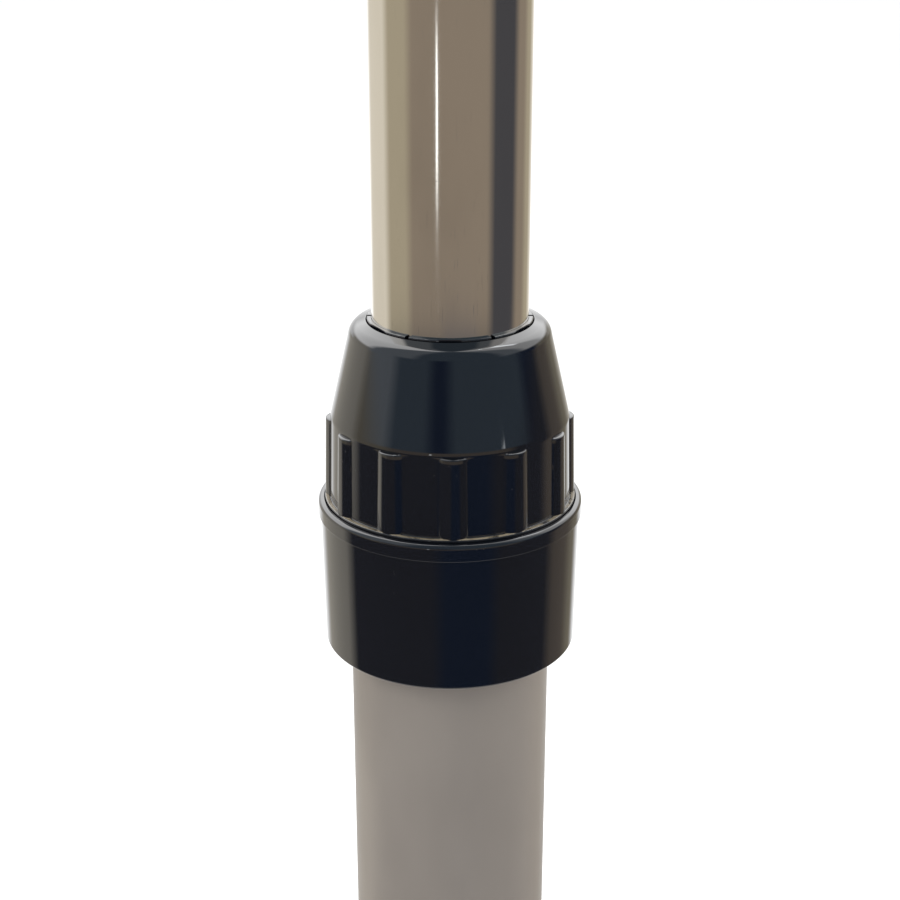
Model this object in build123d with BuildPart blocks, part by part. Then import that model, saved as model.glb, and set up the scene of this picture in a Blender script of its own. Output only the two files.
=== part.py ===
from build123d import *
import math
import os

# A two-section telescopic window cleaning pole with a twist lock, standing on its foot.
# The pole's axis is +Z, its front is -Y, and the origin is the centre of the foot's underside.

os.makedirs("parts", exist_ok=True)

# ---- driving dimensions, mm ----

# tubes
outer_tube_diameter = 40.0
outer_tube_wall = 1.5
outer_tube_length = 600.0
inner_tube_diameter = 30.0
inner_tube_wall = 1.0
inner_tube_length = 600.0
shown_length = 120.0  # inner tube standing out of the nut as stored

# gaps, all on the radius unless named otherwise, and the plain edges
seat_gap = 0.05  # between pieces fixed in one another
bore_gap = 0.05  # collet on the inner tube
slide_gap = 0.25  # bush and glide ring on what slides by them
screw_gap = 0.3  # nut, slip ring and threads
end_gap = 0.3  # along the axis, between a loose ring and its shoulders
flush_depth = 0.15  # pin ends under the tube's surface
edge_round = 0.5  # of moulded edges where nothing else is named

# base collar: skirt over the outer tube, ring round the nut's foot, threaded stub inside the nut
skirt_length = 25.3
skirt_wall = 5.05  # at its lower edge
skirt_draft = 0.47  # growth of the radius from the lower edge to the ring
ring_projection = 0.46  # how far the ring stands out of the skirt's top
ring_step = 1.75  # ring's lower edge above the outer tube's end
ring_top = 5.1  # ring's crest above the outer tube's end
ring_width = 1.2
ring_crest_round = 0.9  # at its outer edge
ring_inner_round = 0.1
web_thickness = 6.0  # of the floor that stops the outer tube and seats the collet
recess_height = 3.0  # floor of the recess between ring and stub, above the tube's end
stub_length = 20.0  # threaded stub, from the outer tube's end
stub_wall = 2.3
stub_inset = 1.7  # stub's bore inside the outer tube's radius

# guide bush under the collar's web, and the two rivets that hold collar, tube and bush
bush_length = 20.0
rivet_radius = 1.6
rivet_head_radius = 3.2
rivet_head_height = 1.2
rivet_head_taper = 35.0  # degrees, of the head's side
rivet_depth = 12.0  # under the outer tube's end
rivet_azimuths = (145.0, 215.0)  # from the front, so both are at the back

# trapezoidal thread of collar and nut
thread_pitch = 4.0
thread_depth = 1.0
ridge_root_width = 2.2
ridge_crest_width = 1.4
thread_turns = 2.25
stub_thread_start = 9.0  # above the outer tube's end
nut_thread_start = 3.2  # above the nut's lower end
ridge_sink = 0.3  # root of a ridge inside its core
flank_gap = 0.25

# collet
collet_base_length = 14.0
collet_neck = 2.0  # from base to cone
collet_stand = 0.35  # collet's top above the tight nut's top
collet_lip_wall = 0.8
collet_lip_length = 3.85
collet_fingers = 6
slot_width = 0.8
slot_floor = 6.0  # of the slots, above the collet's lower face
finger_flat = 0.52  # mid-finger flats, outside the inner tube's radius
slip_ring_length = 7.5
slip_ring_rise = 1.5  # slip ring's lower end above the collet cone's root

# lock nut
nut_height = 37.3
nut_lift_gap = 0.8  # nut's lower end above the recess floor when tight
nut_wall = 1.75  # at its lower end, outside the thread
nut_draft = 0.45  # loss of the body's radius up to the shoulder
nut_shoulder = 18.2  # where the taper starts, above the lower end
nut_rim_wall = 3.1  # the rim's corner outside the mouth
nut_rim_drop = 1.2  # the rim's corner under the mouth, so the top is crowned
nut_rim_round = 2.6
nut_foot_height = 1.8  # rim between the ribs at the lower end
nut_rim_gap = 0.15  # nut's top bore round the collet's lip
nut_cone_floor = 19.2  # start of the inner cone, above the lower end
nut_lip_height = 3.0
nut_cone_step = 0.9  # inner cone's foot inside the thread's crest
nut_mouth_step = 0.7  # inner cone's end outside the mouth
nut_run_out = 2.2  # from the thread's root in to the inner cone, along the axis
rib_count = 12
rib_azimuth = 1.5  # of the first rib, from the front
rib_radius = 4.0  # of the rib's round back
rib_projection = 1.0
rib_draft = 0.5
rib_height = 17.5
rib_round = 0.25  # at its upper end

# lower end of the inner tube
plug_spigot_length = 25.0
plug_flange_wall = 2.6  # flanges' reach outside the inner tube's bore
plug_flange_thickness = 3.0
plug_neck_length = 14.0
glide_ring_slot = 2.0
bumper_height = 2.5
bumper_wall = 1.9
pin_radius = 1.5
plug_pin_height = 12.0  # above the inner tube's lower end
moulded_wall = 2.5  # of the plug and of the ferrule's lower spigot

# tool tip at the upper end of the inner tube
ferrule_spigot_length = 28.0
ferrule_flange_height = 6.0
ferrule_flange_step = 0.7
tool_spigot_radius = 11.0
tool_spigot_length = 34.0
tip_pin_depth = 14.0  # under the inner tube's upper end
stud_radius = 9.5
stud_pitch = 5.0
stud_thread_depth = 1.2
stud_root_width = 2.75
stud_crest_width = 1.75
stud_thread_turns = 3.6
stud_length = 26.0
stud_collar_height = 2.0
stud_shank_radius = 5.0
stud_shank_length = 20.0

# foot and grip
pad_height = 3.0
cap_flange_height = 3.0
foot_radius = 24.0
cap_spigot_length = 20.0
cap_wall = 2.0
boss_radius = 6.0
foot_screw_radius = 2.1
foot_screw_length = 12.0
foot_screw_head_radius = 4.2
foot_screw_head_height = 1.8
foot_screw_recess = 0.9  # head's face above the floor
grip_wall = 3.0
grip_length = 150.0
grip_groove_count = 16
grip_groove_pitch = 7.5
grip_groove_radius = 1.3
grip_groove_start = 17.0
grip_ring_height = 7.0
grip_ring_wall = 3.4

# ---- levels and radii that follow ----

outer_radius = outer_tube_diameter / 2
outer_bore = outer_radius - outer_tube_wall
inner_radius = inner_tube_diameter / 2
inner_bore = inner_radius - inner_tube_wall

foot_level = pad_height + cap_flange_height  # outer tube's lower end
tube_top = foot_level + outer_tube_length
recess_floor = tube_top + recess_height
web_top = tube_top + web_thickness
stub_top = tube_top + stub_length

skirt_radius = outer_radius + skirt_wall
ring_radius = skirt_radius + skirt_draft + ring_projection
recess_radius = ring_radius - ring_width

collet_bore = inner_radius + bore_gap
collet_lip_radius = collet_bore + collet_lip_wall
stub_bore = outer_radius - stub_inset
collet_base_radius = stub_bore - seat_gap
cone_root_radius = collet_base_radius - seat_gap
thread_core = stub_bore + stub_wall  # male root
thread_crest = thread_core + thread_depth
nut_crest = thread_core + screw_gap  # female crest
nut_root = nut_crest + thread_depth

nut_bottom = recess_floor + nut_lift_gap
nut_top = nut_bottom + nut_height
nut_radius = nut_root + nut_wall
shoulder_radius = nut_radius - nut_draft
nut_mouth = collet_lip_radius + nut_rim_gap
rim_radius = nut_mouth + nut_rim_wall

collet_bottom = web_top
cone_root = collet_bottom + collet_base_length + collet_neck
collet_top = nut_top + collet_stand
cone_end = collet_top - collet_lip_length

inner_top = nut_top + shown_length
inner_bottom = inner_top - inner_tube_length


def turned(*points, rounds=()):
    """A closed face in the XZ plane from (radius, height) points, for revolving about the axis.

    rounds lists (point, radius) for the corners to be rounded.
    """
    with BuildSketch(Plane.XZ) as face:
        with BuildLine():
            Polyline(*points, close=True)
        make_face()
        for point, radius in rounds:
            fillet(face.vertices().sort_by_distance(point)[0], radius)
    return face.sketch


def tube_face(inside, outside, low, high):
    """The half section of a plain tube."""
    return turned((inside, low), (outside, low), (outside, high), (inside, high))


def thread_ridge(pitch, turns, start, root, crest, root_width, crest_width, sink):
    """A helical ridge: a trapezoid in the axial plane, carried up a right-hand helix."""
    with BuildPart() as ridge:
        with BuildLine() as rise:
            Helix(pitch, pitch * turns, root, center=(0, 0, start))
        with BuildSketch(Plane(origin=(0, 0, start), x_dir=(1, 0, 0), z_dir=(0, -1, 0))):
            with BuildLine():
                Polyline(
                    (sink, -root_width / 2),
                    (root, -root_width / 2),
                    (crest, -crest_width / 2),
                    (crest, crest_width / 2),
                    (root, root_width / 2),
                    (sink, root_width / 2),
                    close=True,
                )
            make_face()
        sweep(path=rise.line, is_frenet=True)
    return ridge.part


def across(azimuth, height, distance=0.0):
    """A plane facing outwards at an azimuth from the front, at a distance from the axis."""
    angle = math.radians(azimuth)
    outward = Vector(math.sin(angle), -math.cos(angle), 0)
    return Plane(origin=outward * distance + Vector(0, 0, height), z_dir=outward)


def rivet_holes(depth):
    """Drill the holes of the two collar rivets into the piece being made, out from the axis."""
    for azimuth in rivet_azimuths:
        with BuildSketch(across(azimuth, rivet_level)) as hole:
            Circle(rivet_radius + seat_gap)
        extrude(hole.sketch, amount=depth, mode=Mode.SUBTRACT)


def cross_hole(level):
    """Drill a pin's hole along X, right through the piece being made."""
    with BuildSketch(Plane.YZ.offset(-inner_tube_diameter)) as hole:
        with Locations((0, level)):
            Circle(pin_radius + seat_gap)
    extrude(hole.sketch, amount=2 * inner_tube_diameter, mode=Mode.SUBTRACT)


def finish(builder, name):
    """Label a finished piece and write it."""
    builder.part.label = name
    export_step(builder.part, f"parts/{name}.step")


# ---- outer tube, collar and what the collar holds ----

rivet_level = tube_top - rivet_depth
head_seat = skirt_radius - rivet_head_height / 2  # spot-faced floor under a rivet head

with BuildPart() as outer_tube:
    revolve(tube_face(outer_bore, outer_radius, foot_level, tube_top), axis=Axis.Z)
    rivet_holes(skirt_radius)
finish(outer_tube, "outer_tube")

skirt_bottom = tube_top - skirt_length
ring_under = tube_top + ring_step
ring_crest = tube_top + ring_top
stub_thread = thread_ridge(
    thread_pitch, thread_turns, tube_top + stub_thread_start, thread_core, thread_crest,
    ridge_root_width, ridge_crest_width, thread_core - ridge_sink,
)

with BuildPart() as base_collar:
    revolve(
        turned(
            (outer_radius + seat_gap, skirt_bottom),
            (skirt_radius, skirt_bottom),
            (skirt_radius + skirt_draft, ring_under),
            (ring_radius, ring_under),
            (ring_radius, ring_crest),
            (recess_radius, ring_crest),
            (recess_radius, recess_floor),
            (thread_core, recess_floor),
            (thread_core, stub_top),
            (stub_bore, stub_top),
            (stub_bore, web_top),
            (inner_radius + slide_gap, web_top),
            (inner_radius + slide_gap, tube_top),
            (outer_radius + seat_gap, tube_top),
            rounds=(
                ((skirt_radius, skirt_bottom), edge_round),
                ((ring_radius, ring_crest), ring_crest_round),
                ((recess_radius, ring_crest), ring_inner_round),
            ),
        ),
        axis=Axis.Z,
    )
    add(stub_thread)
    rivet_holes(ring_radius)
    for azimuth in rivet_azimuths:
        with BuildSketch(across(azimuth, rivet_level, head_seat)):
            Circle(rivet_head_radius + slide_gap)
        extrude(amount=ring_radius, mode=Mode.SUBTRACT)
finish(base_collar, "base_collar")

bush_outer = outer_bore - seat_gap
bush_bore = inner_radius + slide_gap
bush_bottom = tube_top - bush_length
rivet_tip = bush_bore + slide_gap  # shank's inner end, inside the bush's wall

with BuildPart() as guide_bush:
    revolve(tube_face(bush_bore, bush_outer, bush_bottom, tube_top), axis=Axis.Z)
    rivet_holes(skirt_radius)
finish(guide_bush, "guide_bush")

with BuildPart() as collar_rivets:
    for azimuth in rivet_azimuths:
        with BuildSketch(across(azimuth, rivet_level, rivet_tip)):
            Circle(rivet_radius)
        extrude(amount=head_seat - rivet_tip)
        with BuildSketch(across(azimuth, rivet_level, head_seat)):
            Circle(rivet_head_radius)
        extrude(amount=rivet_head_height, taper=rivet_head_taper)
finish(collar_rivets, "collar_rivets")

with BuildPart() as collet:
    revolve(
        turned(
            (collet_bore, collet_bottom),
            (collet_base_radius, collet_bottom),
            (collet_base_radius, collet_bottom + collet_base_length),
            (cone_root_radius, cone_root),
            (collet_lip_radius, cone_end),
            (collet_lip_radius, collet_top),
            (collet_bore, collet_top),
            rounds=(((collet_lip_radius, collet_top), collet_lip_wall / 3),),
        ),
        axis=Axis.Z,
    )
    slot_height = collet_top - collet_bottom - slot_floor
    with Locations((0, 0, collet_bottom + slot_floor)):
        with PolarLocations(0, collet_fingers // 2, angular_range=180):
            Box(
                outer_tube_diameter, slot_width, slot_height + end_gap,
                align=(Align.CENTER, Align.CENTER, Align.MIN), mode=Mode.SUBTRACT,
            )
    for finger in range(collet_fingers):
        lip_middle = (cone_end + collet_top) / 2
        with BuildSketch(across(finger * 360 / collet_fingers, lip_middle, inner_radius + finger_flat)):
            Rectangle(inner_radius, collet_lip_length + end_gap)
        extrude(amount=collet_lip_wall, mode=Mode.SUBTRACT)
finish(collet, "collet")

# ---- slip ring and lock nut ----

cone_slope = (cone_root_radius - collet_lip_radius) / (cone_end - cone_root)
slip_low = cone_root + slip_ring_rise
slip_high = slip_low + slip_ring_length
slip_low_bore = cone_root_radius - cone_slope * slip_ring_rise + screw_gap
slip_high_bore = slip_low_bore - cone_slope * slip_ring_length

# inner cone of the nut, from its floor in to the mouth
nut_cone_low = nut_bottom + nut_cone_floor
nut_cone_high = nut_top - nut_lip_height
nut_cone_low_radius = nut_crest - nut_cone_step
nut_cone_slope = (nut_cone_low_radius - nut_mouth - nut_mouth_step) / (nut_cone_high - nut_cone_low)


def nut_cone_radius(height):
    """Radius of the nut's inner cone at a height."""
    return nut_cone_low_radius - nut_cone_slope * (height - nut_cone_low)


with BuildPart() as slip_ring:
    revolve(
        turned(
            (slip_low_bore, slip_low),
            (nut_cone_radius(slip_low) - screw_gap, slip_low),
            (nut_cone_radius(slip_high) - screw_gap, slip_high),
            (slip_high_bore, slip_high),
        ),
        axis=Axis.Z,
    )
finish(slip_ring, "slip_ring")

shoulder_level = nut_bottom + nut_shoulder
nut_foot_radius = nut_radius + rib_projection
rib_centre = nut_foot_radius - rib_radius
nut_thread = thread_ridge(
    thread_pitch, thread_turns, nut_bottom + nut_thread_start, nut_root, nut_crest,
    ridge_root_width - 2 * flank_gap, ridge_crest_width, nut_root + ridge_sink,
)

with BuildPart() as rib:
    with Locations((0, 0, nut_bottom)):
        Cone(
            rib_radius, rib_radius - rib_draft, rib_height,
            align=(Align.CENTER, Align.CENTER, Align.MIN),
        )
    fillet(rib.edges().group_by(Axis.Z)[-1], rib_round)

with BuildPart() as lock_nut:
    revolve(
        turned(
            (0, nut_bottom),
            (nut_foot_radius, nut_bottom),
            (nut_foot_radius, nut_bottom + nut_foot_height),
            (nut_radius, nut_bottom + nut_foot_height),
            (shoulder_radius, shoulder_level),
            (rim_radius, nut_top - nut_rim_drop),
            (nut_mouth, nut_top),
            (0, nut_top),
            rounds=(((rim_radius, nut_top - nut_rim_drop), nut_rim_round),),
        ),
        axis=Axis.Z,
    )
    with PolarLocations(rib_centre, rib_count, start_angle=rib_azimuth - 90):
        add(rib.part)
    revolve(
        turned(
            (0, nut_bottom),
            (nut_root, nut_bottom),
            (nut_root, nut_cone_low - nut_run_out),
            (nut_cone_low_radius, nut_cone_low),
            (nut_cone_radius(nut_cone_high), nut_cone_high),
            (nut_mouth, nut_cone_high),
            (nut_mouth, nut_top),
            (0, nut_top),
        ),
        axis=Axis.Z,
        mode=Mode.SUBTRACT,
    )
    add(nut_thread)
finish(lock_nut, "lock_nut")

# ---- inner tube and its lower end ----

plug_pin_level = inner_bottom + plug_pin_height
tip_pin_level = inner_top - tip_pin_depth

with BuildPart() as inner_tube:
    revolve(tube_face(inner_bore, inner_radius, inner_bottom, inner_top), axis=Axis.Z)
    cross_hole(plug_pin_level)
    cross_hole(tip_pin_level)
finish(inner_tube, "inner_tube")

spigot_radius = inner_bore - seat_gap
glide_radius = outer_bore - slide_gap
flange_radius = inner_bore + plug_flange_wall
shelf = inner_bottom - plug_flange_thickness  # underside of the upper flange
neck_end = shelf - plug_neck_length
plug_bottom = neck_end - plug_flange_thickness
bumper_bore = inner_radius + seat_gap
bumper_seat = inner_bottom

with BuildPart() as end_plug:
    revolve(
        turned(
            (spigot_radius - moulded_wall, plug_bottom),
            (flange_radius, plug_bottom),
            (flange_radius, neck_end),
            (spigot_radius, neck_end),
            (spigot_radius, shelf),
            (flange_radius, shelf),
            (flange_radius, inner_bottom),
            (spigot_radius, inner_bottom),
            (spigot_radius, inner_bottom + plug_spigot_length),
            (0, inner_bottom + plug_spigot_length),
            (0, inner_bottom + plug_spigot_length - moulded_wall),
            (spigot_radius - moulded_wall, inner_bottom + plug_spigot_length - moulded_wall),
            rounds=(((flange_radius, plug_bottom), edge_round),),
        ),
        axis=Axis.Z,
    )
    cross_hole(plug_pin_level)
finish(end_plug, "end_plug")

for name, level in (("plug_pin", plug_pin_level), ("tip_pin", tip_pin_level)):
    pin_reach = inner_radius - flush_depth
    with BuildPart() as pin:
        with BuildSketch(Plane.YZ.offset(-pin_reach)):
            with Locations((0, level)):
                Circle(pin_radius)
        extrude(amount=2 * pin_reach)
    finish(pin, name)

with BuildPart() as glide_ring:
    revolve(
        tube_face(spigot_radius + slide_gap, glide_radius, neck_end + end_gap, shelf - end_gap),
        axis=Axis.Z,
    )
    with Locations((0, (spigot_radius + glide_radius) / 2, neck_end)):
        Box(
            glide_ring_slot, glide_radius, plug_neck_length,
            align=(Align.CENTER, Align.CENTER, Align.MIN), mode=Mode.SUBTRACT,
        )
finish(glide_ring, "glide_ring")

with BuildPart() as stop_bumper:
    revolve(
        turned(
            (bumper_bore, bumper_seat),
            (bumper_bore + bumper_wall, bumper_seat),
            (bumper_bore + bumper_wall, bumper_seat + bumper_height),
            (bumper_bore, bumper_seat + bumper_height),
            rounds=(((bumper_bore + bumper_wall, bumper_seat + bumper_height), bumper_wall / 3),),
        ),
        axis=Axis.Z,
    )
finish(stop_bumper, "stop_bumper")

# ---- tool tip ----

flange_top = inner_top + ferrule_flange_height
spigot_top = flange_top + tool_spigot_length
stud_hole_floor = spigot_top - stud_shank_length - end_gap
tip_radius = inner_radius + ferrule_flange_step

with BuildPart() as tip_ferrule:
    revolve(
        turned(
            (spigot_radius - moulded_wall, inner_top - ferrule_spigot_length),
            (spigot_radius, inner_top - ferrule_spigot_length),
            (spigot_radius, inner_top),
            (tip_radius, inner_top),
            (tip_radius, flange_top),
            (tool_spigot_radius, flange_top),
            (tool_spigot_radius, spigot_top),
            (stud_shank_radius + seat_gap, spigot_top),
            (stud_shank_radius + seat_gap, stud_hole_floor),
            (0, stud_hole_floor),
            (0, inner_top),
            (spigot_radius - moulded_wall, inner_top),
            rounds=(
                ((tip_radius, inner_top), edge_round),
                ((tip_radius, flange_top), 2 * edge_round),
                ((tool_spigot_radius, spigot_top), edge_round),
            ),
        ),
        axis=Axis.Z,
    )
    cross_hole(tip_pin_level)
finish(tip_ferrule, "tip_ferrule")

stud_core = stud_radius - stud_thread_depth
stud_seat = spigot_top + stud_collar_height
stud_top = spigot_top + stud_length
stud_thread = thread_ridge(
    stud_pitch, stud_thread_turns, stud_seat + stud_pitch / 2, stud_core, stud_radius,
    stud_root_width, stud_crest_width, stud_core - ridge_sink,
)

with BuildPart() as tool_stud:
    revolve(
        turned(
            (0, spigot_top - stud_shank_length),
            (stud_shank_radius, spigot_top - stud_shank_length),
            (stud_shank_radius, spigot_top),
            (stud_radius, spigot_top),
            (stud_radius, stud_seat),
            (stud_core, stud_seat),
            (stud_core, stud_top - stud_thread_depth),
            (stud_core - stud_thread_depth, stud_top),
            (0, stud_top),
        ),
        axis=Axis.Z,
    )
    add(stud_thread)
finish(tool_stud, "tool_stud")

# ---- foot and grip ----

cap_radius = outer_bore - seat_gap
cap_top = foot_level + cap_spigot_length
cap_roof = cap_top - cap_wall
head_top = foot_screw_recess + foot_screw_head_height
screw_end = head_top + foot_screw_length

with BuildPart() as end_cap:
    revolve(
        turned(
            (foot_screw_radius + seat_gap, pad_height),
            (foot_radius, pad_height),
            (foot_radius, foot_level),
            (cap_radius, foot_level),
            (cap_radius, cap_top),
            (0, cap_top),
            (0, screw_end + end_gap),
            (foot_screw_radius + seat_gap, screw_end + end_gap),
            rounds=(((cap_radius, cap_top), edge_round),),
        ),
        axis=Axis.Z,
    )
    revolve(
        tube_face(boss_radius, cap_radius - cap_wall, foot_level, cap_roof),
        axis=Axis.Z,
        mode=Mode.SUBTRACT,
    )
finish(end_cap, "end_cap")

with BuildPart() as foot_pad:
    revolve(
        turned(
            (foot_screw_radius + seat_gap, pad_height),
            (foot_screw_radius + seat_gap, head_top),
            (foot_screw_head_radius + seat_gap, head_top),
            (foot_screw_head_radius + seat_gap, 0),
            (foot_radius, 0),
            (foot_radius, pad_height),
            rounds=(((foot_radius, 0), 2 * edge_round),),
        ),
        axis=Axis.Z,
    )
finish(foot_pad, "foot_pad")

with BuildPart() as foot_screw:
    revolve(
        turned(
            (0, foot_screw_recess),
            (foot_screw_head_radius, foot_screw_recess),
            (foot_screw_head_radius, head_top),
            (foot_screw_radius, head_top),
            (foot_screw_radius, screw_end - foot_screw_radius),
            (0, screw_end),
            rounds=(((foot_screw_head_radius, foot_screw_recess), foot_screw_head_height / 3),),
        ),
        axis=Axis.Z,
    )
    with BuildSketch(Plane.XY.offset(foot_screw_recess)):
        Rectangle(foot_screw_head_radius, foot_screw_head_height / 2)
        Rectangle(foot_screw_head_height / 2, foot_screw_head_radius)
    extrude(amount=foot_screw_head_height / 2, mode=Mode.SUBTRACT)
finish(foot_screw, "foot_screw")

grip_bore = outer_radius + seat_gap
grip_radius = grip_bore + grip_wall
grip_top = foot_level + grip_length
ring_end = grip_top + grip_ring_height

with BuildPart() as grip_sleeve:
    revolve(
        turned(
            (grip_bore, foot_level),
            (grip_radius, foot_level),
            (grip_radius, grip_top),
            (grip_bore, grip_top),
            rounds=(((grip_radius, foot_level), edge_round),),
        ),
        axis=Axis.Z,
    )
    with BuildSketch(Plane.XZ):
        for groove in range(grip_groove_count):
            with Locations((grip_radius, foot_level + grip_groove_start + groove * grip_groove_pitch)):
                Circle(grip_groove_radius)
    revolve(axis=Axis.Z, mode=Mode.SUBTRACT)
finish(grip_sleeve, "grip_sleeve")

with BuildPart() as grip_ring:
    ring_outer = grip_bore + grip_ring_wall
    revolve(
        turned(
            (grip_bore, grip_top),
            (ring_outer, grip_top),
            (ring_outer, grip_top + grip_ring_height / 2),
            (grip_bore + grip_ring_wall / 3, ring_end),
            (grip_bore, ring_end),
            rounds=(((ring_outer, grip_top), edge_round),),
        ),
        axis=Axis.Z,
    )
finish(grip_ring, "grip_ring")
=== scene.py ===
import math
import bmesh
import bpy
import numpy as np
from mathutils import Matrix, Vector


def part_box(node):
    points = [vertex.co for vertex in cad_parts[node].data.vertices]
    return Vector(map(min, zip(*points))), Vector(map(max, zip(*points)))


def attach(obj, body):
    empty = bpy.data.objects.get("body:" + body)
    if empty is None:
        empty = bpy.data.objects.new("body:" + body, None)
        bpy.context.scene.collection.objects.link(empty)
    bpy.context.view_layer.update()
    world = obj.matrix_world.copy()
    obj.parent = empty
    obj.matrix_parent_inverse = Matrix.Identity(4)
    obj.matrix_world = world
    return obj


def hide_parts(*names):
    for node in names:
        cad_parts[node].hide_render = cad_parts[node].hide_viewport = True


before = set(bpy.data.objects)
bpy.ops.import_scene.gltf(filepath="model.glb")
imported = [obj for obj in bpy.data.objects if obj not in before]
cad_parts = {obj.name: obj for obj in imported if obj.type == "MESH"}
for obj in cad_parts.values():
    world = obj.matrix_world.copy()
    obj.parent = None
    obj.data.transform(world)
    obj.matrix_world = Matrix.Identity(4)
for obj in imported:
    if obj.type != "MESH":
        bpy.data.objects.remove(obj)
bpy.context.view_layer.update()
mm = 0.001

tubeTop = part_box("outer_tube")[1].z
lockLevel = tubeTop + 14 * mm  # the height that the camera looks at


def meshPiece(name, points, wrapRows=True, sharpAngle=32):
    # points[row, column] is a grid whose columns run round the axis and meet again. Its rows are a closed
    # outline, or with wrapRows off they start and end on the axis, where each end row becomes one point.
    rows, columns = points.shape[:2]
    lastRow = rows if wrapRows else rows - 1
    row, column = np.meshgrid(np.arange(lastRow), np.arange(columns), indexing="ij")
    nextRow, nextColumn = (row + 1) % rows, (column + 1) % columns
    faces = np.stack([row * columns + column, row * columns + nextColumn,
                      nextRow * columns + nextColumn, nextRow * columns + column], axis=-1).reshape(-1, 4)
    mesh = bpy.data.meshes.new(name)
    mesh.vertices.add(rows * columns)
    mesh.vertices.foreach_set("co", points.astype(np.float32).ravel())
    mesh.loops.add(faces.size)
    mesh.loops.foreach_set("vertex_index", faces.astype(np.int32).ravel())
    mesh.polygons.add(len(faces))
    mesh.polygons.foreach_set("loop_start", np.arange(0, faces.size, 4, dtype=np.int32))
    mesh.update(calc_edges=True)
    shell = bmesh.new()
    shell.from_mesh(mesh)
    bmesh.ops.remove_doubles(shell, verts=shell.verts, dist=1e-7)
    bmesh.ops.recalc_face_normals(shell, faces=shell.faces)
    shell.to_mesh(mesh)
    shell.free()
    mesh.shade_smooth()
    mesh.set_sharp_from_angle(angle=math.radians(sharpAngle))
    piece = bpy.data.objects.new(name, mesh)
    bpy.context.scene.collection.objects.link(piece)
    return piece


def outline(corners, closed=True, steps=6, hold=0.08 * mm):
    # Corners are (radius, height, rounding). A rounding is an arc tangent to both sides of its corner: its
    # centre is on the corner's bisector, rounding / sin(half the corner) away. A straight stretch gets a
    # point close to each of its ends, so that its shading stays straight up to the corners.
    places = np.array([corner[:2] for corner in corners], float)
    pieces = []
    for index, corner in enumerate(corners):
        here = places[index]
        rounding = corner[2] if len(corner) > 2 else 0
        atEnd = not closed and index in (0, len(corners) - 1)
        if rounding == 0 or atEnd:
            pieces.append(here[None])
            continue
        back = places[index - 1] - here
        ahead = places[(index + 1) % len(corners)] - here
        back, ahead = back / np.linalg.norm(back), ahead / np.linalg.norm(ahead)
        half = math.acos(np.clip(back @ ahead, -1, 1)) / 2
        bisector = (back + ahead) / np.linalg.norm(back + ahead)
        centre = here + bisector * rounding / math.sin(half)
        reach = rounding / math.tan(half)
        first, last = here + back * reach - centre, here + ahead * reach - centre
        turn = math.pi - 2 * half
        t = np.linspace(0, 1, max(3, int(steps * turn / (math.pi / 2)) + 2))[:, None]
        pieces.append(centre + (np.sin((1 - t) * turn) * first + np.sin(t * turn) * last) / math.sin(turn))
    line = np.concatenate(pieces)
    ends = np.roll(line, -1, axis=0) if closed else line[1:]
    starts = line if closed else line[:-1]
    share = hold / np.maximum(np.linalg.norm(ends - starts, axis=1), 1e-9)
    share = np.where(share < 0.2, share, 0)[:, None]
    held = np.stack([starts, starts + (ends - starts) * share, ends - (ends - starts) * share], axis=1)
    held = held.reshape(-1, 2) if closed else np.concatenate([held.reshape(-1, 2), line[-1:]])
    apart = np.linalg.norm(held - np.roll(held, 1, axis=0), axis=1) > 1e-7
    return held[apart]


def addRows(line, wall, heights):
    # the outline with the rows of a rising wall set anew at the heights
    rows = np.flatnonzero(wall)
    first = rows[line[rows, 1] > heights[0]][0]
    last = rows[line[rows, 1] < heights[-1]][-1] + 1
    placed = np.interp(heights, line[rows, 1], line[rows, 0])
    return np.concatenate([line[:first], np.stack([placed, heights], axis=1), line[last:]])


def around(radius, height, azimuth):
    # A point at an azimuth from the front (-Y) towards +X: (radius sin, -radius cos, height).
    return np.stack(np.broadcast_arrays(radius * np.sin(azimuth), -radius * np.cos(azimuth), height), axis=-1)


def turned(name, line, columns=256, wrapRows=True, sharpAngle=32):
    # A surface of revolution: each point of the outline carried round the axis.
    azimuth = np.linspace(0, 2 * math.pi, columns, endpoint=False)
    return meshPiece(name, around(line[:, 0, None], line[:, 1, None], azimuth[None]), wrapRows, sharpAngle)


def place(piece, body, slot, material, *nodes):
    piece.data.materials.clear()
    piece.data.materials.append(material)
    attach(piece, body)
    if nodes:
        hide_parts(*nodes)
    return piece


class Wire:
    # a node's output that can stand in a sum; every operator adds its Math node
    def __init__(self, shader, socket):
        self.shader, self.socket = shader, socket

    def math(self, operation, *terms):
        return self.shader.node("ShaderNodeMath", {"operation": operation}, terms)

    def __add__(self, other): return self.math("ADD", self, other)
    __radd__ = __add__
    def __mul__(self, other): return self.math("MULTIPLY", self, other)
    __rmul__ = __mul__
    def __sub__(self, other): return self.math("SUBTRACT", self, other)
    def __rsub__(self, other): return self.math("SUBTRACT", other, self)
    def __truediv__(self, other): return self.math("DIVIDE", self, other)
    def __rtruediv__(self, other): return self.math("DIVIDE", other, self)
    def __pow__(self, other): return self.math("POWER", self, other)
    def __gt__(self, other): return self.math("GREATER_THAN", self, other)
    def __lt__(self, other): return self.math("LESS_THAN", self, other)

    def absolute(self):
        return self.math("ABSOLUTE", self)

    def output(self, name):
        # another output of the same node
        return Wire(self.shader, self.socket.node.outputs[name])

    def between(self, low, high):
        # 0 below low and 1 above high, with a smooth step between them
        return self.shader.node("ShaderNodeMapRange", {"interpolation_type": "SMOOTHSTEP"},
                                {"Value": self, "From Min": low, "From Max": high})


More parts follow.
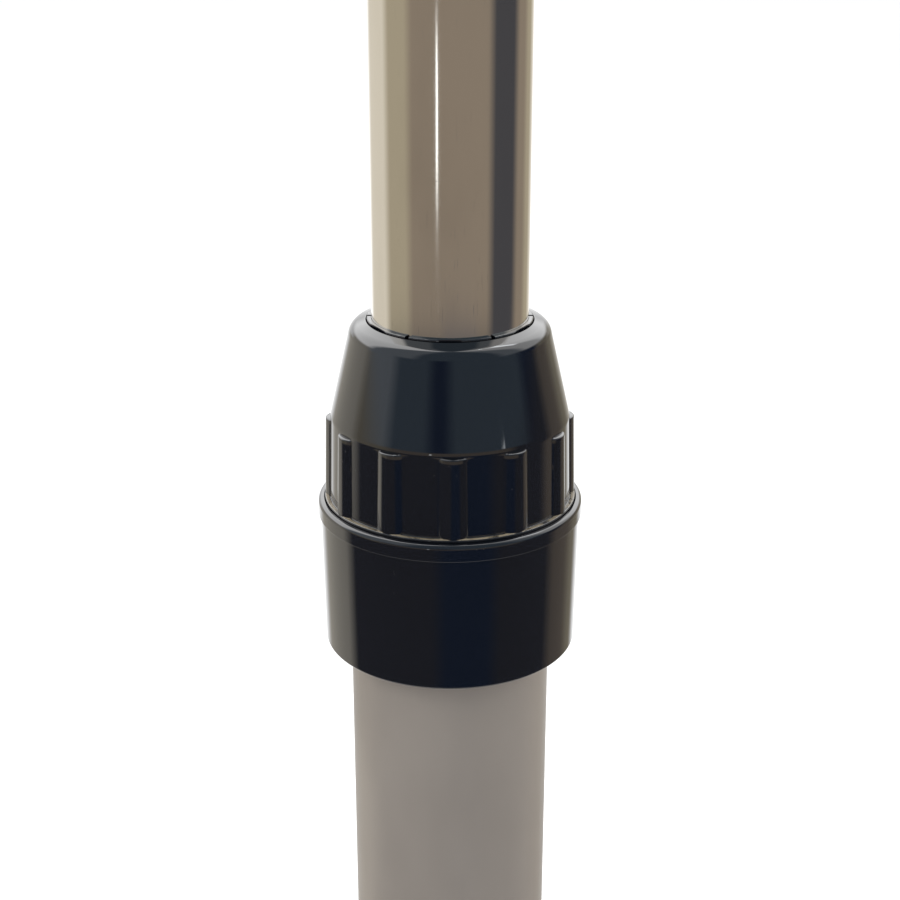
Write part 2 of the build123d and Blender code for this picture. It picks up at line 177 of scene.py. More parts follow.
class Shader:
    # the node tree of a material or of the world
    def __init__(self, owner):
        owner.use_nodes = True
        self.nodes, self.links = owner.node_tree.nodes, owner.node_tree.links
        self.nodes.clear()

    def node(self, kind, settings=None, inputs=None, output=0):
        made = self.nodes.new(kind)
        for name, value in (settings or {}).items():
            if name == "stops":
                self.setStops(made.color_ramp, value)
            else:
                setattr(made, name, value)
        pairs = inputs.items() if isinstance(inputs, dict) else enumerate(inputs or ())
        for key, value in pairs:
            self.feed(made.inputs[key], value)
        return Wire(self, made.outputs[output])

    def feed(self, socket, value):
        if isinstance(value, Wire):
            self.links.new(value.socket, socket)
        else:
            socket.default_value = value

    def setStops(self, ramp, stops):
        while len(ramp.elements) < len(stops):
            ramp.elements.new(0.5)
        for element, (position, colour) in zip(ramp.elements, stops):
            element.position = position
            element.color = (*colour, 1)

    def finish(self, kind, surface):
        self.links.new(surface.socket, self.nodes.new(kind).inputs["Surface"])

    def split(self, vector):
        parts = self.node("ShaderNodeSeparateXYZ", None, (vector,))
        return [parts.output(axis) for axis in ("X", "Y", "Z")]

    def coords(self, stretch=(1, 1, 1), turn=(0, 0, 0)):
        return self.node("ShaderNodeMapping", None, {
            "Vector": self.node("ShaderNodeTexCoord", output="Object"), "Rotation": turn, "Scale": stretch})

    def noise(self, where, scale, detail=2.0, roughness=0.5, distortion=0.0):
        return self.node("ShaderNodeTexNoise", None, {
            "Vector": where, "Scale": scale, "Detail": detail, "Roughness": roughness,
            "Distortion": distortion})

    def cells(self, where, scale, feature="F1", randomness=1.0):
        return self.node("ShaderNodeTexVoronoi", {"feature": feature}, {
            "Vector": where, "Scale": scale, "Randomness": randomness})

    def mix(self, factor, first, second):
        first, second = ((*c, 1) if isinstance(c, tuple) else c for c in (first, second))
        return self.node("ShaderNodeMix", {"data_type": "RGBA"}, {0: factor, 6: first, 7: second}, 2)

    def bump(self, height, strength, distance):
        return self.node("ShaderNodeBump", None, {
            "Height": height, "Strength": strength, "Distance": distance})


def finish(name, constants, build):
    # A Principled material: constants go on its own sockets, and build gives the patterns that vary.
    material = bpy.data.materials.new(name)
    shader = Shader(material)
    shader.finish("ShaderNodeOutputMaterial",
                  shader.node("ShaderNodeBsdfPrincipled", None, {**constants, **build(shader)}))
    return material


def dashes(s, width, length, turn=(0, 0, 0), low=0.70, high=0.78):
    # Short faint scratches: the peaks of a noise drawn out along the axis, or along the axis turned.
    drawn = s.node("ShaderNodeMapping", None, {
        "Vector": s.coords(turn=turn), "Scale": (1, 1, width / length)})
    return s.noise(drawn, 1 / width, 1.0).between(low, high)


polish = {"light": (0.76, 0.73, 0.68), "dull": (0.68, 0.65, 0.60), "roughness": 0.075, "smear": 0.03,
          "scratch": 0.10, "drawLines": 0.03}


def polishedSteel(s):
    # Tube steel polished lengthwise: faint draw lines along the axis, cloudy hand smears, short scratches.
    where = s.coords()
    lines = s.noise(s.coords((1, 1, 0.006)), 2600, 3.0, 0.6)
    smear = s.noise(s.coords((1, 1, 0.35)), 46, 3.0, 0.6).between(0.42, 0.72)
    specks = 1 - s.cells(where, 520).between(0.05, 0.10)
    specks = specks * s.noise(where, 130, 1.0).between(0.60, 0.66)
    marks = dashes(s, 0.25 * mm, 5 * mm) + dashes(s, 0.2 * mm, 3 * mm, (0.4, 0.25, 0), 0.74, 0.8)
    return {
        "Base Color": s.mix(smear + marks * 0.4, polish["light"], polish["dull"]),
        "Roughness": lines * polish["drawLines"] + smear * polish["smear"] + marks * polish["scratch"]
        + specks * 0.12 + polish["roughness"],
        "Normal": s.bump(lines * 0.6 - marks * 0.3 + specks * 0.4, 0.05, 0.00002),
    }


satin = {"light": (0.245, 0.218, 0.193), "dark": (0.215, 0.190, 0.168), "roughness": 0.36}


def satinTube(s):
    # Bead-blasted and anodised: a very fine grain, slow clouds along the tube, a few rubbed lines.
    where = s.coords()
    grain = s.noise(where, 5200, 2.0, 0.6)
    drawn = s.noise(s.coords((1, 1, 0.012)), 900, 2.0, 0.5)
    cloud = s.noise(s.coords((1, 1, 0.5)), 26, 3.0, 0.6).between(0.35, 0.7)
    rubs = dashes(s, 0.35 * mm, 9 * mm) + dashes(s, 0.3 * mm, 4 * mm, (0.5, 0.3, 0), 0.74, 0.8)
    return {
        "Base Color": s.mix(cloud, satin["light"], satin["dark"]),
        "Roughness": grain * 0.08 + drawn * 0.06 + cloud * 0.05 - rubs * 0.08 + satin["roughness"],
        "Normal": s.bump(grain * 0.7 + drawn * 0.5, 0.12, 0.00003),
    }


# The pale beige colour is the painted highlight along the nut's foot; ledgeHeight and ledgeRadius place it.
gloss = {"black": (0.0022, 0.0026, 0.0042), "scuffed": (0.016, 0.016, 0.018), "dustAndPaintedHighlight": (0.30, 0.25, 0.17),
         "roughness": 0.02, "ledgeHeight": 1.8 * mm, "ledgeRadius": 24.2 * mm}


def glossBlack(s):
    # Polished moulding: slow waves left by the mould, fine wiping marks round it, small scuffs and dusty
    # specks, and
    # a painted highlight: a pale line along the nut's foot between the ribs, where its edge catches the
    # light.
    where = s.coords()
    x, y, z = s.split(where)
    radius = (x * x + y * y) ** 0.5
    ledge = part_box("lock_nut")[0].z + gloss["ledgeHeight"]
    above, beyond = z - ledge, radius - gloss["ledgeRadius"]
    # A painted highlight: a thin pale line on the foot's ledge between the ribs, at the ledge's height and
    # near the edge's radius, broken up by noise. It is also rougher there.
    paintedEdgeHighlight = 1 - above.absolute().between(0.06 * mm, 0.14 * mm)
    paintedEdgeHighlight = paintedEdgeHighlight * (1 - beyond.absolute().between(0.25 * mm, 0.4 * mm))
    paintedEdgeHighlight = paintedEdgeHighlight * s.noise(where, 380, 3.0).between(0.30, 0.55)
    waves = s.noise(where, 90, 1.0, 0.5)
    film = s.noise(s.coords((1, 1, 0.6)), 60, 4.0, 0.65).between(0.45, 0.75)
    wiping = s.noise(s.coords((0.25, 0.25, 1)), 1800, 2.0, 0.6)
    dustAndPaintedHighlight = 1 - s.cells(where, 700).between(0.05, 0.11)
    dustAndPaintedHighlight = dustAndPaintedHighlight * s.noise(where, 110, 1.0).between(0.60, 0.66)
    scuffs = dashes(s, 0.14 * mm, 1.2 * mm, (0.9, 0.5, 0.2), 0.72, 0.80)
    base = s.mix(scuffs * 0.4 + dustAndPaintedHighlight * 0.8, gloss["black"], gloss["scuffed"])
    return {
        "Base Color": s.mix(paintedEdgeHighlight * 0.8, base, gloss["dustAndPaintedHighlight"]),
        "Roughness": film * 0.02 + wiping * 0.015 + scuffs * 0.12 + dustAndPaintedHighlight * 0.3 + paintedEdgeHighlight * 0.4
        + gloss["roughness"],
        "Normal": s.bump(waves + dustAndPaintedHighlight * 0.004, 0.04, 0.0004),
    }


def moulded(base, worn, grainScale=1500, roughness=0.45):
    # Spark-eroded moulding texture: rounded grains, with worn and dusty patches.
    def build(s):
        where = s.coords()
        grain = s.cells(where, grainScale, "SMOOTH_F1")
        cloud = s.noise(where, 55, 3.0, 0.6).between(0.4, 0.75)
        return {
            "Base Color": s.mix(cloud * 0.6 + grain * 0.25, base, worn),
            "Roughness": grain * 0.2 + cloud * 0.1 + roughness,
            "Normal": s.bump(grain, 0.35, 0.00008),
        }
    return build


def machined(base, dark, lineScale=2400, roughness=0.28):
    # Turned metal: fine rings round the axis, with stains.
    def build(s):
        where = s.coords()
        rings = s.noise(s.coords((0.02, 0.02, 1)), lineScale, 2.0, 0.6)
        stain = s.noise(where, 160, 3.0, 0.6).between(0.45, 0.75)
        return {
            "Base Color": s.mix(stain, base, dark),
            "Roughness": rings * 0.15 + stain * 0.12 + roughness,
            "Normal": s.bump(rings, 0.2, 0.00003),
        }
    return build


steel = finish("polished_steel", {"Metallic": 1.0}, polishedSteel)
grey = finish("satin_grey", {"Metallic": 0.3}, satinTube)
black = finish("gloss_black", {"IOR": 1.9}, glossBlack)
mattBlack = finish("matt_black", {"IOR": 1.48}, moulded((0.014, 0.014, 0.015), (0.03, 0.03, 0.032)))
acetal = finish("natural_acetal", {"IOR": 1.48}, moulded((0.72, 0.70, 0.64), (0.62, 0.59, 0.52), 1800, 0.35))
rubber = finish("black_rubber", {"IOR": 1.5},
                moulded((0.018, 0.018, 0.018), (0.05, 0.049, 0.047), 1100, 0.62))
gripRubber = finish("grip_rubber", {"IOR": 1.5},
                    moulded((0.022, 0.023, 0.025), (0.05, 0.05, 0.05), 1300, 0.58))
rivetMetal = finish("rivet_aluminium", {"Metallic": 1.0}, machined((0.62, 0.62, 0.63), (0.42, 0.42, 0.43)))
screwSteel = finish("zinc_steel", {"Metallic": 1.0},
                    machined((0.60, 0.60, 0.58), (0.40, 0.39, 0.36), 1800, 0.32))
studMetal = finish("turned_aluminium", {"Metallic": 1.0},
                   machined((0.68, 0.68, 0.69), (0.52, 0.52, 0.53), 3000, 0.22))
print("finishes made")


nutSize = {
    "footHeight": 1.8 * mm, "bodyRadius": 23.65 * mm, "shoulder": (23.2 * mm, 18.2 * mm),
    "rimRadius": 19.1 * mm, "rimDrop": 1.2 * mm, "rimRound": 2.6 * mm, "mouth": 16.0 * mm, "ribs": 12,
    "firstRib": 1.5, "ribRound": 4.0 * mm, "ribDraft": 0.5 * mm, "ribTop": 17.5 * mm, "ribEnd": 0.28 * mm,
    "blend": 0.12 * mm,
}


def smoothLargest(a, b, blend):
    # half of (a + b + the root of (a - b) squared + blend squared): the larger, with a rounded crease
    return (a + b + np.sqrt((a - b) ** 2 + blend ** 2)) / 2


def lockNut():
    size = nutSize
    low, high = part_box("lock_nut")
    foot = high.x
    shoulderRadius, shoulder = size["shoulder"]
    top = high.z - low.z
    line = outline([
        (21.9 * mm, 0, 0.15 * mm), (foot, 0, 0.25 * mm), (foot, size["footHeight"], 0.22 * mm),
        (size["bodyRadius"], size["footHeight"], 0.15 * mm), (shoulderRadius, shoulder, 3 * mm),
        (size["rimRadius"], top - size["rimDrop"], size["rimRound"]), (size["mouth"], top, 0.15 * mm),
        (size["mouth"], top - 3 * mm), (16.7 * mm, top - 3 * mm), (20.0 * mm, 19.2 * mm),
        (21.9 * mm, 17 * mm),
    ], steps=10)
    # rows stand closer together where the ribs end
    wall = (line[:, 0] > 22.4 * mm) & (line[:, 0] < size["bodyRadius"] + 1e-6) & (
        line[:, 1] > size["footHeight"])
    ribEnd = size["ribTop"] - size["ribEnd"]
    line = addRows(line, wall, np.concatenate([
        np.arange(size["footHeight"] + 0.4 * mm, ribEnd - 0.2 * mm, 0.55 * mm),
        np.arange(ribEnd, size["ribTop"] + 0.15 * mm, 0.055 * mm)]))

    # columns stand closer together at the ribs' edges, 6.7 degrees to each side of a rib's middle
    pitch = 360 / size["ribs"]
    half = np.concatenate([np.arange(0, 5.6, 0.56), np.arange(5.6, 7.8, 0.2), np.arange(7.8, pitch / 2, 1.2)])
    offsets = np.concatenate([-half[:0:-1], half])
    azimuth = np.radians(np.add.outer(np.arange(size["ribs"]) * pitch, offsets).ravel() + size["firstRib"])
    offset = np.radians(np.tile(offsets, size["ribs"]))

    # A rib is a round bar of radius ribRound whose middle stands at ribCentre: seen from the axis at an angle
    # from its middle, its far side is at ribCentre cos + the root of (radius squared - (ribCentre sin)
    # squared). Its radius falls by a quarter circle over the height ribEnd under its top.
    radius, height = line[:, 0, None], line[:, 1, None]
    ribCentre = foot - size["ribRound"]
    under = np.clip((size["ribTop"] - height) / size["ribEnd"], 0, 1)
    ribRadius = (size["ribRound"] - size["ribDraft"] * height / size["ribTop"]
                 - size["ribEnd"] * (1 - np.sqrt(under * (2 - under))))
    inside = np.maximum(ribRadius ** 2 - (ribCentre * np.sin(offset)) ** 2, 0)
    rib = np.where((inside > 0) & (height < size["ribTop"]), ribCentre * np.cos(offset) + np.sqrt(inside), 0)
    isOuter = (radius > 21.95 * mm) & (height > 0.4 * mm)
    blend = size["blend"]
    raised = smoothLargest(radius, rib, blend) - blend / 2 * (np.abs(radius - rib) < blend)
    radius = np.where(isOuter & (rib > radius - 1.0 * mm), np.maximum(raised, radius), radius)
    piece = meshPiece("twist_nut", around(radius, height + low.z, azimuth[None]), sharpAngle=40)
    return place(piece, "nut", "black_plastic", black, "lock_nut")


lockNut()
print("lock nut made")


collarSize = {
    "skirtRadius": 25.05 * mm, "skirtTopRadius": 25.52 * mm, "ringStep": 1.75 * mm, "ringTop": 5.1 * mm,
    "recess": 24.78 * mm, "floor": 3 * mm, "rivetDepth": 12 * mm, "rivetAzimuths": (145, 215),
    "pocket": 3.45 * mm, "seat": 24.45 * mm,
}


def closeAt(values, centres, reach, step):
    # the values with a finer spacing added within reach of each centre
    extra = [np.arange(centre - reach, centre + reach, step) for centre in centres]
    kept = values[np.all(np.abs(np.subtract.outer(values, centres)) >= reach, axis=1)]
    return np.sort(np.concatenate([kept, *extra]))


def baseCollar():
    size = collarSize
    low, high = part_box("base_collar")
    line = outline([
        (20.05 * mm, low.z, 0.2 * mm), (size["skirtRadius"], low.z, 0.45 * mm),
        (size["skirtTopRadius"], tubeTop + size["ringStep"], 0.08 * mm),
        (high.x, tubeTop + size["ringStep"], 0.14 * mm), (high.x, tubeTop + size["ringTop"], 0.9 * mm),
        (size["recess"], tubeTop + size["ringTop"], 0.12 * mm),
        (size["recess"], tubeTop + size["floor"], 0.2 * mm),
        (20.6 * mm, tubeTop + size["floor"]), (20.6 * mm, high.z), (18.3 * mm, high.z),
        (18.3 * mm, tubeTop + 6 * mm), (15.25 * mm, tubeTop + 6 * mm), (15.25 * mm, tubeTop),
        (20.05 * mm, tubeTop),
    ], steps=9)
    skirt = (line[:, 0] > 25.0 * mm) & (line[:, 0] < size["skirtTopRadius"]) & (
        line[:, 1] < tubeTop + size["ringStep"] - 0.05 * mm)
    rivetLevel = tubeTop - size["rivetDepth"]
    line = addRows(line, skirt, np.arange(rivetLevel - 4 * mm, rivetLevel + 4 * mm, 0.12 * mm))
    rivetAngles = np.radians(size["rivetAzimuths"])
    azimuth = closeAt(np.linspace(0, 2 * math.pi, 300, endpoint=False), rivetAngles, math.radians(9), 0.006)
    radius, height = line[:, 0, None], line[:, 1, None]
    # A rivet's pocket has a flat floor: inside its circle the wall comes down to seat / cos(angle to the
    # rivet).
    for rivet in rivetAngles:
        aside = azimuth[None] - rivet
        distance = np.hypot(radius * np.sin(aside), height - rivetLevel)
        depth = np.clip((size["pocket"] - distance) / (0.12 * mm) + 0.5, 0, 1)
        floor = size["seat"] / np.cos(np.clip(aside, -0.3, 0.3))
        pressed = radius + (np.minimum(floor, radius) - radius) * depth
        radius = np.where((np.abs(aside) < 0.3) & (line[:, 0, None] > 24.5 * mm), pressed, radius)
    piece = meshPiece("collar", around(radius, height, azimuth[None]), sharpAngle=40)
    return place(piece, "outer_pole", "black_plastic", black, "base_collar")


def rivetHead(name, azimuth):
    # A blind rivet's dome with the broken end of its mandrel in the middle, turned about its own axis: the
    # outline's radius runs across the axis and its height outwards from the collar.
    size = collarSize
    line = outline([
        (0, 0), (3.2 * mm, 0, 0.1 * mm), (3.15 * mm, 0.35 * mm, 0.2 * mm), (1.7 * mm, 1.15 * mm, 0.5 * mm),
        (1.15 * mm, 1.2 * mm, 0.08 * mm), (1.0 * mm, 0.75 * mm), (0.85 * mm, 0.75 * mm),
        (0.8 * mm, 0.95 * mm, 0.1 * mm), (0, 1.0 * mm)], closed=False, steps=6)
    turn = np.linspace(0, 2 * math.pi, 64, endpoint=False)[None]
    across, up, out = line[:, 0, None] * np.cos(turn), line[:, 0, None] * np.sin(turn), line[:, 1, None]
    outwards = np.array([math.sin(azimuth), -math.cos(azimuth), 0])
    sideways = np.array([math.cos(azimuth), math.sin(azimuth), 0])
    points = ((out + size["seat"])[..., None] * outwards + across[..., None] * sideways
              + (up + tubeTop - size["rivetDepth"])[..., None] * np.array([0, 0, 1.0]))
    piece = meshPiece(name, points, wrapRows=False)
    return place(piece, "outer_pole", "rivet_metal", rivetMetal, "collar_rivets")


baseCollar()
for side, degrees in zip(("left", "right"), collarSize["rivetAzimuths"]):
    rivetHead(f"rivet_{side}", math.radians(degrees))
print("collar made")


def tube(node, name, wall, body, slot, material, edge=0.12 * mm, columns=320):
    low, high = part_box(node)
    line = outline([
        (high.x - wall, low.z, edge), (high.x, low.z, edge), (high.x, high.z, edge),
        (high.x - wall, high.z, edge),
    ], steps=4)
    return place(turned(name, line, columns), body, slot, material, node)


tube("outer_tube", "lower_tube", 1.5 * mm, "outer_pole", "outer_tube", grey)
tube("inner_tube", "upper_tube", 1.0 * mm, "inner_pole", "inner_tube", steel)
print("tubes made")


tipSize = {"spigot": 11.0 * mm, "plug": 13.9 * mm, "flange": 6 * mm, "shank": 5 * mm, "core": 8.3 * mm,
           "collar": 2 * mm, "pitch": 5 * mm, "turns": 3.6, "rootWidth": 0.55, "crestWidth": 0.35}


def tipFerrule():
    size = tipSize
    low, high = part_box("tip_ferrule")
    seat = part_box("inner_tube")[1].z
    flangeTop = seat + size["flange"]
    line = outline([
        (size["plug"] - 2.5 * mm, low.z), (size["plug"], low.z, 0.3 * mm), (size["plug"], seat + 0.02 * mm),
        (high.x, seat + 0.02 * mm, 0.5 * mm), (high.x, flangeTop, 1.0 * mm),
        (size["spigot"], flangeTop, 0.4 * mm), (size["spigot"], high.z, 0.5 * mm),
        (size["shank"], high.z, 0.2 * mm), (size["shank"], high.z - 20 * mm),
        (size["plug"] - 2.5 * mm, high.z - 22 * mm)], steps=6)
    return place(turned("ferrule", line, 192), "inner_pole", "black_plastic", mattBlack, "tip_ferrule")


def toolStud():
    # The ridge's height at an azimuth and a height: a trapezoid across one pitch, whose middle climbs by one
    # pitch for each turn, faded out at the first and last quarter turn.
    size = tipSize
    low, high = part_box("tool_stud")
    seat = low.z + 20 * mm + size["collar"]
    crest = high.x
    chamfer = crest - size["core"]
    azimuth = np.linspace(0, 2 * math.pi, 128, endpoint=False)
    threaded = np.arange(seat + 0.1 * mm, high.z - chamfer, 0.16 * mm)
    line = np.concatenate([
        outline([(0, low.z), (size["shank"], low.z, 0.4 * mm), (size["shank"], seat - size["collar"]),
                 (crest, seat - size["collar"], 0.25 * mm), (crest, seat, 0.25 * mm), (size["core"], seat)],
                closed=False, steps=5),
        np.stack([np.full(len(threaded), size["core"]), threaded], axis=1),
        outline([(size["core"], high.z - chamfer), (size["core"] - chamfer, high.z, 0.2 * mm), (0, high.z)],
                closed=False, steps=5)])
    radius, height = line[:, 0, None], line[:, 1, None]
    climbed = (height - seat - size["pitch"] / 2) / size["pitch"]
    turns = climbed - (azimuth[None] - math.pi / 2) / (2 * math.pi)
    fromMiddle = np.abs((turns + 0.5) % 1 - 0.5)
    root, top = size["rootWidth"] / 2, size["crestWidth"] / 2
    ridge = np.clip((root - fromMiddle) / (root - top), 0, 1)
    fade = np.clip((climbed + 0.35) / 0.25, 0, 1) * np.clip((size["turns"] + 0.35 - climbed) / 0.25, 0, 1)
    on = (height > seat) & (height < high.z - chamfer) & (radius > size["core"] - 0.01 * mm)
    radius = radius + np.where(on, ridge * fade * (crest - size["core"]), 0)
    piece = meshPiece("threaded_stud", around(radius, height, azimuth[None]), wrapRows=False, sharpAngle=35)
    return place(piece, "inner_pole", "stud_metal", studMetal, "tool_stud")


tipFerrule()
toolStud()
print("tool tip made")


gripSize = {"grooves": 16, "groovePitch": 7.5 * mm, "grooveRadius": 1.3 * mm, "grooveStart": 17 * mm,
            "lip": 0.5 * mm}


def gripSleeve():
    # The wall is cut by rings of round section: inside a groove the radius is less by the root of
    # (groove radius squared - distance from its middle squared).
    size = gripSize
    low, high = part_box("grip_sleeve")
    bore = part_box("outer_tube")[1].x + 0.05 * mm
    line = outline([
        (bore, low.z), (high.x, low.z, size["lip"]), (high.x, high.z, 0.3 * mm), (bore, high.z)], steps=5)
    middles = low.z + size["grooveStart"] + size["groovePitch"] * np.arange(size["grooves"])
    wall = (line[:, 0] > high.x - 1e-6)
    line = addRows(line, wall, np.add.outer(middles, np.arange(-1.9, 1.95, 0.2) * mm).ravel())
    radius, height = line[:, 0], line[:, 1]
    nearest = np.abs(np.subtract.outer(height, middles)).min(axis=1)
    depth = np.sqrt(np.maximum(size["grooveRadius"] ** 2 - nearest ** 2, 0))
    edge = 0.25 * mm * np.exp(-((nearest - size["grooveRadius"]) / (0.25 * mm)) ** 2)
    radius = np.where(radius > high.x - 0.1 * mm, radius - np.maximum(depth, edge), radius)
    piece = turned("grip", np.stack([radius, height], axis=1), 160)
    return place(piece, "outer_pole", "grip_rubber", gripRubber, "grip_sleeve")


def gripRing():
    low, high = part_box("grip_ring")
    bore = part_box("outer_tube")[1].x + 0.03 * mm
    line = outline([(bore, low.z), (high.x, low.z, 0.5 * mm), (high.x, low.z + 3.5 * mm, 1.2 * mm),
                    (bore + 1.1 * mm, high.z, 0.3 * mm), (bore, high.z)], steps=7)
    return place(turned("grip_trim", line, 192), "outer_pole", "matte_plastic", mattBlack, "grip_ring")


def endCap():
    low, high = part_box("end_cap")
    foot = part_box("outer_tube")[0].z
    plug = 18.45 * mm
    line = outline([
        (0, high.z), (plug, high.z, 0.5 * mm), (plug, foot + 0.02 * mm), (high.x, foot - 0.02 * mm, 0.3 * mm),
        (high.x, low.z, 0.2 * mm), (2.2 * mm, low.z), (2.2 * mm, low.z + 12 * mm), (0, low.z + 12 * mm),
    ], closed=False, steps=5)
    piece = turned("foot_cap", line, 160, wrapRows=False)
    return place(piece, "outer_pole", "matte_plastic", mattBlack, "end_cap")


def footPad():
    low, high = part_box("foot_pad")
    line = outline([
        (2.2 * mm, high.z), (2.2 * mm, 2.7 * mm), (4.3 * mm, 2.7 * mm, 0.1 * mm), (4.3 * mm, 0, 0.3 * mm),
        *((radius * mm, 0) for radius in np.arange(7, 21.6, 0.5)),
        (high.x, 0, 1.0 * mm), (high.x, high.z, 0.3 * mm)], steps=6)
    # five shallow rings in the sole, as deep as half of (1 + cos) across each one's width
    ring = np.abs((line[:, 0] - 8 * mm) / (3 * mm) % 1 - 0.5) * 2
    sole = (line[:, 1] < 1e-6) & (line[:, 0] > 7 * mm) & (line[:, 0] < 21.5 * mm)
    line[:, 1] += np.where(sole, 0.4 * mm * (1 + np.cos(math.pi * ring)) / 2, 0)
    return place(turned("rubber_foot", line, 160), "outer_pole", "rubber", rubber, "foot_pad")


gripSleeve()
gripRing()
endCap()
footPad()
print("grip and foot made")


keptFinishes = {
    "collet": black, "guide_bush": acetal, "slip_ring": acetal, "glide_ring": acetal, "end_plug": mattBlack,
    "plug_pin": rivetMetal, "tip_pin": rivetMetal, "stop_bumper": rubber, "foot_screw": screwSteel,
}
for node, material in keptFinishes.items():
    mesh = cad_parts[node].data
    mesh.materials.clear()
    mesh.materials.append(material)
print("kept pieces finished")


room = {
    "paints": {
        "lit": (2.5, 2.5, 2.5), "white": (1.4, 1.4, 1.4), "cream": (0.8, 0.75, 0.65),
        "haze": (0.45, 0.5, 0.55), "beige": (0.45, 0.4, 0.3), "brown": (0.3, 0.25, 0.2),
        "slate": (0.15, 0.2, 0.25), "charcoal": (0.07, 0.07, 0.08), "navy": (0.03, 0.05, 0.1),
    },
    # panels side by side round the studio: where each begins, in degrees from the front towards +X
    "lowWall": [(-150, "cream"), (-100, "charcoal"), (-10, "navy"), (40, "charcoal"), (100, "brown"),
                (130, "beige"), (150, "white")],
    "wall": [(-150, "cream"), (-100, "beige"), (-60, "brown"), (60, "charcoal"), (105, "brown"),
             (130, "beige"), (150, "cream"), (165, "white")],
    "highWall": [(-140, "cream"), (-100, "haze"), (-60, "slate"), (-20, "navy"), (0, "slate"), (80, "navy"),
                 (110, "beige"), (140, "cream"), (160, "white")],
    "ceiling": [(-100, "haze"), (-40, "slate"), (60, "haze"), (90, "white"), (130, "lit")],
    "floor": (0.85, 0.85, 0.85), "panelEdge": 6,
    # where one row of panels gives way to the next, as the height of the direction
    "floorTop": (-0.95, -0.65), "lowWallTop": (-0.31, -0.29), "wallTop": (-0.06, 0.03),
    "highWallTop": (0.13, 0.32),
    # lamps on the walls: azimuth, elevation, half width and half height in degrees, strength
    "lamps": [(-18, -10, 1, 2.5, 3), (30, 8.5, 1, 0.3, 2), (50, 2, 2, 0.25, 2)],
    # strip lights in the ceiling, as places on a plane one unit above: across, behind, half sizes, strength
    "strips": [(-0.1, 0.3, 0.1, 0.03, 9), (0.15, 0.3, 0.1, 0.03, 9), (0.5, 0.5, 0.2, 0.08, 3)],
    "backdrop": (1.0, 1.0, 1.0), "sky": (0.98, 0.99, 1.0), "skyStrength": 1.08,
}

studio = {"floorHalf": 12.0, "floorColour": (0.93, 0.93, 0.925), "aim": (0, 0, lockLevel)}


def patch(across, along, middleAcross, middleAlong, halfAcross, halfAlong, strength):
    # a bright rectangle of the room with soft edges
    aside, ahead = across - middleAcross, along - middleAlong
    outside = aside.math("MAXIMUM", aside.absolute() / halfAcross, ahead.absolute() / halfAlong)
    return (1 - outside.between(0.75, 1.25)) * strength


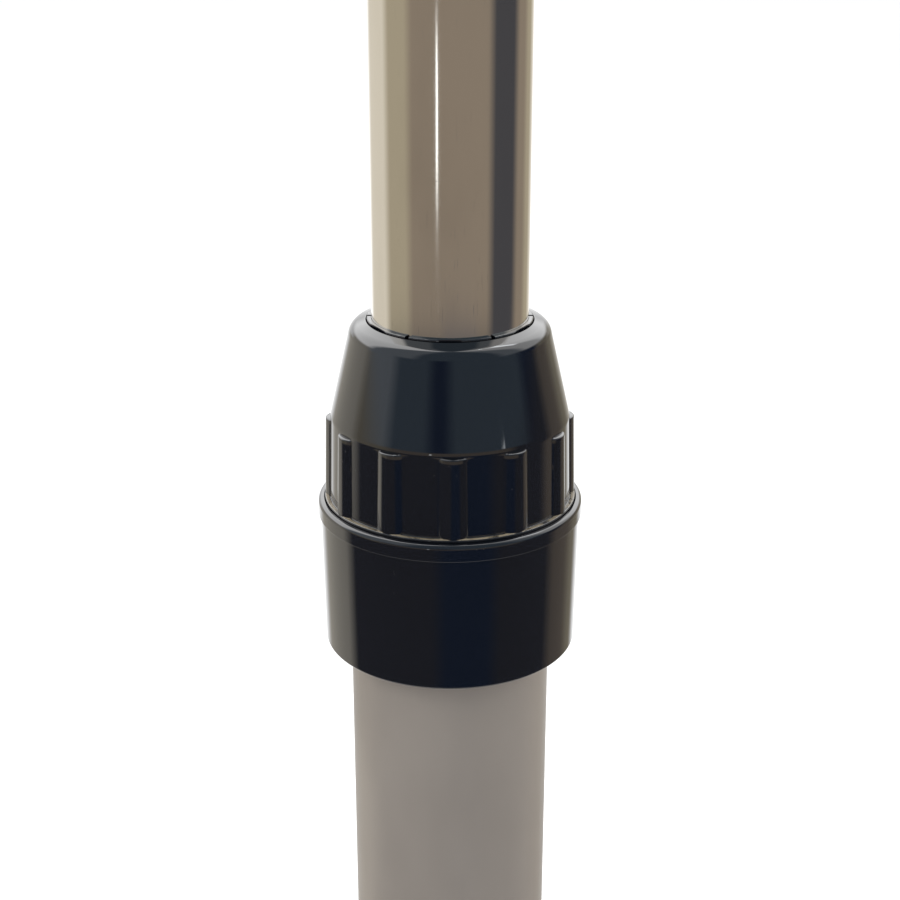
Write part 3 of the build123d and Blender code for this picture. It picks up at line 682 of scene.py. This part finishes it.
def buildRoom():
    world = bpy.data.worlds.new("room")
    bpy.context.scene.world = world
    s = Shader(world)
    direction = s.node("ShaderNodeTexCoord", output="Generated")
    x, y, z = s.split(direction)
    turn = x.math("ARCTAN2", x, y * -1) / (2 * math.pi) + 0.5
    rise = z.math("ARCSINE", z) * math.degrees(1)

    def panels(name):
        # a soft step at the beginning of each panel, from the paint of the one before it
        begins, paints = zip(*room[name])
        stops = []
        for begin, before, paint in zip(begins, paints[-1:] + paints[:-1], paints):
            stops += [((begin - room["panelEdge"]) / 360 + 0.5, room["paints"][before]),
                      ((begin + room["panelEdge"]) / 360 + 0.5, room["paints"][paint])]
        return s.node("ShaderNodeValToRGB", {"stops": stops}, (turn,))

    seen = s.mix(z.between(*room["lowWallTop"]), panels("lowWall"), panels("wall"))
    seen = s.mix(z.between(*room["floorTop"]), room["floor"], seen)
    seen = s.mix(z.between(*room["wallTop"]), seen, panels("highWall"))
    seen = s.mix(z.between(*room["highWallTop"]), seen, panels("ceiling"))
    glow = 0
    for entry in room["lamps"]:
        glow = patch((turn - 0.5) * 360, rise, *entry) + glow
    overhead = z.math("MAXIMUM", z, 0.05)
    for entry in room["strips"]:
        glow = patch(x / overhead, y / overhead, *entry) * (z > 0.1) + glow
    mirrored = s.node("ShaderNodeAddShader", None, (
        s.node("ShaderNodeBackground", None, {"Color": seen, "Strength": 1.0}),
        s.node("ShaderNodeBackground", None, {"Color": (0.92, 0.97, 1.0, 1), "Strength": glow})))
    soft = s.node("ShaderNodeBackground", None, {"Color": (*room["sky"], 1), "Strength": room["skyStrength"]})
    plain = s.node("ShaderNodeBackground", None, {"Color": (*room["backdrop"], 1), "Strength": 1.0})
    path = s.node("ShaderNodeLightPath")
    lit = s.node("ShaderNodeMixShader", None, (path.output("Is Glossy Ray"), soft, mirrored))
    shown = s.node("ShaderNodeMixShader", None, (path.output("Is Camera Ray"), lit, plain))
    s.finish("ShaderNodeOutputWorld", shown)


def buildFloor():
    half = studio["floorHalf"]
    mesh = bpy.data.meshes.new("floor")
    corners = [(-half, -half, 0), (half, -half, 0), (half, half, 0), (-half, half, 0)]
    mesh.from_pydata(corners, [], [(0, 1, 2, 3)])
    floor = bpy.data.objects.new("floor", mesh)
    bpy.context.scene.collection.objects.link(floor)
    floor.visible_glossy = False
    surface = finish("pale_floor", {"Roughness": 0.8, "Specular IOR Level": 0.0}, lambda s: {
        "Base Color": s.mix(s.noise(s.coords(), 3, 2.0), studio["floorColour"], (0.95, 0.95, 0.945))})
    mesh.materials.append(surface)


def softbox(name, place, size, power, colour=(1, 1, 1)):
    light = bpy.data.lights.new(name, "AREA")
    light.shape = "RECTANGLE"
    light.size, light.size_y = size
    light.energy = power
    light.color = colour
    box = bpy.data.objects.new(name, light)
    box.location = place
    box.rotation_mode = "QUATERNION"
    box.rotation_quaternion = (Vector(studio["aim"]) - Vector(place)).to_track_quat("-Z", "Y")
    bpy.context.scene.collection.objects.link(box)
    return box


buildRoom()
buildFloor()
key = softbox("key", (-1.9, -1.1, 2.2), (1.2, 1.2), 42)
fill = softbox("fill", (2.2, 0.35, 1.5), (1.2, 1.2), 40)
key.visible_glossy = fill.visible_glossy = False
print("room made")


shot = {"distance": 329.8 * mm, "elevation": 21.15, "lens": 67.3, "sensor": 36.0}
camera = bpy.data.cameras.new("camera")
camera.lens, camera.sensor_width = shot["lens"], shot["sensor"]
camera.clip_start = 0.01
viewer = bpy.data.objects.new("camera", camera)
bpy.context.scene.collection.objects.link(viewer)
tilt = math.radians(shot["elevation"])
viewer.location = (0, -shot["distance"] * math.cos(tilt), lockLevel + shot["distance"] * math.sin(tilt))
viewer.rotation_euler = (math.pi / 2 - tilt, 0, 0)
bpy.context.scene.camera = viewer
bpy.context.scene.view_settings.view_transform = "Standard"
print("camera set")
